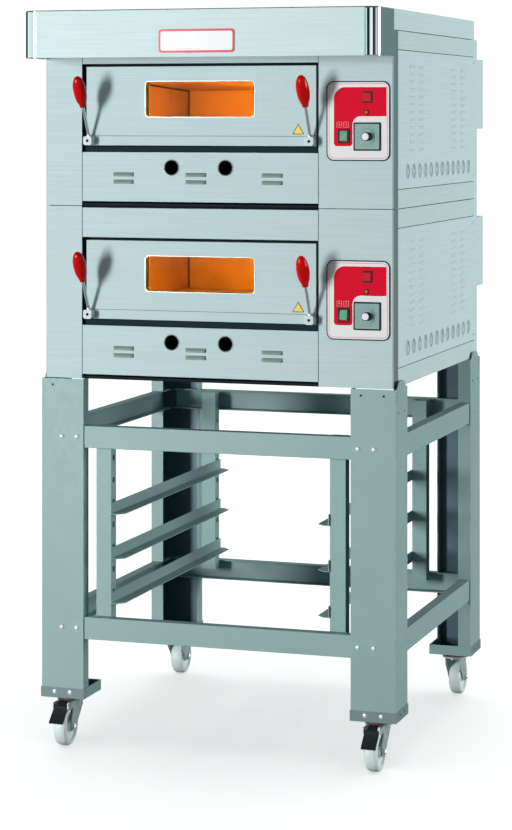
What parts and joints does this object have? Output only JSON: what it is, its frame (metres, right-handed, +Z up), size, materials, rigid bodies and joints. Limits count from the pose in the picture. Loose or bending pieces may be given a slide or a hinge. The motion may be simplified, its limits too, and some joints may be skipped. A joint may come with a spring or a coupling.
{
  "type": "deck pizza oven on wheeled stand",
  "caption": "Stacked gas deck pizza oven with drop-down windowed doors, lever handles and a canopy hood, on an open wheeled stand with a tray rack.",
  "frame": {"origin": "on the floor, under the middle of the whole oven's box", "axes": "+Z up, -Y the side with the doors, +X to the right of someone facing the doors"},
  "size_m": [0.97, 1.176, 1.934],
  "materials": {
    "hood_steel": "satin",
    "casing_steel": "satin",
    "chamber_steel": "matte",
    "hearth_stone": "matte",
    "burner_iron": "matte",
    "panel_white": "satin",
    "stand_paint": "satin",
    "door_glass": "gloss",
    "lever_finish": "gloss",
    "knob_black": "satin",
    "rocker_green": "gloss",
    "zinc": "satin",
    "nylon": "satin",
    "pedal_black": "satin"
  },
  "bodies": {
    "oven_body": {"hood": "hood_steel", "top_cover": "casing_steel", "lower_casing": "casing_steel", "lower_burner_cover": "casing_steel", "lower_chamber": "chamber_steel", "lower_hearth_stone": "hearth_stone", "lower_burner": "burner_iron", "lower_control_panel": "panel_white", "lower_rear_box": "casing_steel", "upper_casing": "casing_steel", "upper_burner_cover": "casing_steel", "upper_chamber": "chamber_steel", "upper_hearth_stone": "hearth_stone", "upper_burner": "burner_iron", "upper_control_panel": "panel_white", "upper_rear_box": "casing_steel", "leg_front_left": "stand_paint", "rack_post_front_left": "stand_paint", "leg_front_right": "stand_paint", "rack_post_front_right": "stand_paint", "leg_rear_left": "stand_paint", "rack_post_rear_left": "stand_paint", "leg_rear_right": "stand_paint", "rack_post_rear_right": "stand_paint", "stand_rail_front_lower": "stand_paint", "stand_rail_rear_lower": "stand_paint", "stand_rail_left_lower": "stand_paint", "stand_rail_right_lower": "stand_paint", "stand_rail_front_upper": "stand_paint", "stand_rail_rear_upper": "stand_paint", "stand_rail_left_upper": "stand_paint", "stand_rail_right_upper": "stand_paint", "runner_lower_left": "stand_paint", "runner_lower_right": "stand_paint", "runner_middle_left": "stand_paint", "runner_middle_right": "stand_paint", "runner_upper_left": "stand_paint", "runner_upper_right": "stand_paint"},
    "lower_door_assembly": {"lower_door": "casing_steel", "lower_door_glass": "door_glass", "lower_lever_left": "lever_finish", "lower_lever_right": "lever_finish"},
    "lower_knob": {"lower_thermostat_knob": "knob_black"},
    "lower_rocker": {"lower_rocker_switch": "rocker_green"},
    "upper_door_assembly": {"upper_door": "casing_steel", "upper_door_glass": "door_glass", "upper_lever_left": "lever_finish", "upper_lever_right": "lever_finish"},
    "upper_knob": {"upper_thermostat_knob": "knob_black"},
    "upper_rocker": {"upper_rocker_switch": "rocker_green"},
    "swivel_front_left": {"caster_fork_front_left": "zinc"},
    "wheel_front_left": {"caster_wheel_front_left": "nylon"},
    "brake_front_left": {"brake_pedal_front_left": "pedal_black"},
    "swivel_front_right": {"caster_fork_front_right": "zinc"},
    "wheel_front_right": {"caster_wheel_front_right": "nylon"},
    "brake_front_right": {"brake_pedal_front_right": "pedal_black"},
    "swivel_rear_left": {"caster_fork_rear_left": "zinc"},
    "wheel_rear_left": {"caster_wheel_rear_left": "nylon"},
    "swivel_rear_right": {"caster_fork_rear_right": "zinc"},
    "wheel_rear_right": {"caster_wheel_rear_right": "nylon"}
  },
  "joints": [
    {"name": "lower_door_hinge", "type": "hinge", "parent": "oven_body", "child": "lower_door_assembly", "pos_m": [-0.04375, -0.441, 1.1297], "axis": [1, 0, 0], "range_deg": [0, 90]},
    {"name": "lower_thermostat_turn", "type": "hinge", "parent": "oven_body", "child": "lower_knob", "pos_m": [0.407, -0.4443, 1.154], "axis": [0, 1, 0], "range_deg": [0, 270]},
    {"name": "lower_rocker_tilt", "type": "hinge", "parent": "oven_body", "child": "lower_rocker", "pos_m": [0.345, -0.437, 1.155], "axis": [1, 0, 0], "range_deg": [0, 18]},
    {"name": "upper_door_hinge", "type": "hinge", "parent": "oven_body", "child": "upper_door_assembly", "pos_m": [-0.04375, -0.441, 1.5847], "axis": [1, 0, 0], "range_deg": [0, 90]},
    {"name": "upper_thermostat_turn", "type": "hinge", "parent": "oven_body", "child": "upper_knob", "pos_m": [0.407, -0.4443, 1.609], "axis": [0, 1, 0], "range_deg": [0, 270]},
    {"name": "upper_rocker_tilt", "type": "hinge", "parent": "oven_body", "child": "upper_rocker", "pos_m": [0.345, -0.437, 1.61], "axis": [1, 0, 0], "range_deg": [0, 18]},
    {"name": "caster_swivel_front_left", "type": "hinge", "parent": "oven_body", "child": "swivel_front_left", "pos_m": [-0.424, -0.389, 0.1165], "axis": [0, 0, 1], "continuous": true},
    {"name": "wheel_spin_front_left", "type": "hinge", "parent": "swivel_front_left", "child": "wheel_front_left", "pos_m": [-0.424, -0.426, 0.05], "axis": [1, 0, 0], "continuous": true},
    {"name": "brake_press_front_left", "type": "hinge", "parent": "swivel_front_left", "child": "brake_front_left", "pos_m": [-0.424, -0.457, 0.106], "axis": [1, 0, 0], "range_deg": [0, 10]},
    {"name": "caster_swivel_front_right", "type": "hinge", "parent": "oven_body", "child": "swivel_front_right", "pos_m": [0.424, -0.389, 0.1165], "axis": [0, 0, 1], "continuous": true},
    {"name": "wheel_spin_front_right", "type": "hinge", "parent": "swivel_front_right", "child": "wheel_front_right", "pos_m": [0.424, -0.426, 0.05], "axis": [1, 0, 0], "continuous": true},
    {"name": "brake_press_front_right", "type": "hinge", "parent": "swivel_front_right", "child": "brake_front_right", "pos_m": [0.424, -0.457, 0.106], "axis": [1, 0, 0], "range_deg": [0, 10]},
    {"name": "caster_swivel_rear_left", "type": "hinge", "parent": "oven_body", "child": "swivel_rear_left", "pos_m": [-0.424, 0.433, 0.1165], "axis": [0, 0, 1], "continuous": true},
    {"name": "wheel_spin_rear_left", "type": "hinge", "parent": "swivel_rear_left", "child": "wheel_rear_left", "pos_m": [-0.424, 0.47, 0.05], "axis": [1, 0, 0], "continuous": true},
    {"name": "caster_swivel_rear_right", "type": "hinge", "parent": "oven_body", "child": "swivel_rear_right", "pos_m": [0.424, 0.433, 0.1165], "axis": [0, 0, 1], "continuous": true},
    {"name": "wheel_spin_rear_right", "type": "hinge", "parent": "swivel_rear_right", "child": "wheel_rear_right", "pos_m": [0.424, 0.47, 0.05], "axis": [1, 0, 0], "continuous": true}
  ]
}
